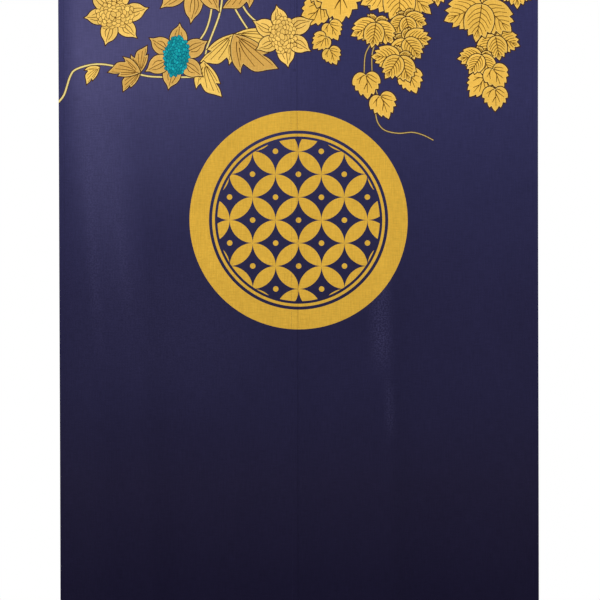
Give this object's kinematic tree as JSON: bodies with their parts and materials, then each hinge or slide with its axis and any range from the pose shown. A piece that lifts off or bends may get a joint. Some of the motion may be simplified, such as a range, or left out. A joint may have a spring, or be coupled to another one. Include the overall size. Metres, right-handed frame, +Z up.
{
  "type": "noren curtain",
  "caption": "Doorway curtain of indigo cloth in side-by-side hemmed panels, printed in gold, hanging in soft folds, sewn together at the top and slit below.",
  "frame": {"origin": "middle of the curtain's top edge, on the plane of the printed face", "axes": "+Z up the hanging curtain, +X to the viewer's right, +Y from the printed face to the back"},
  "size_m": [0.8524, 0.0188, 1.5],
  "materials": {
    "indigo_cloth": "printed slub-weave polyester, indigo shading darker downwards, gold print, soft sheen"
  },
  "bodies": {
    "root": {"panel_left": "indigo_cloth", "panel_right": "indigo_cloth"}
  },
  "joints": []
}
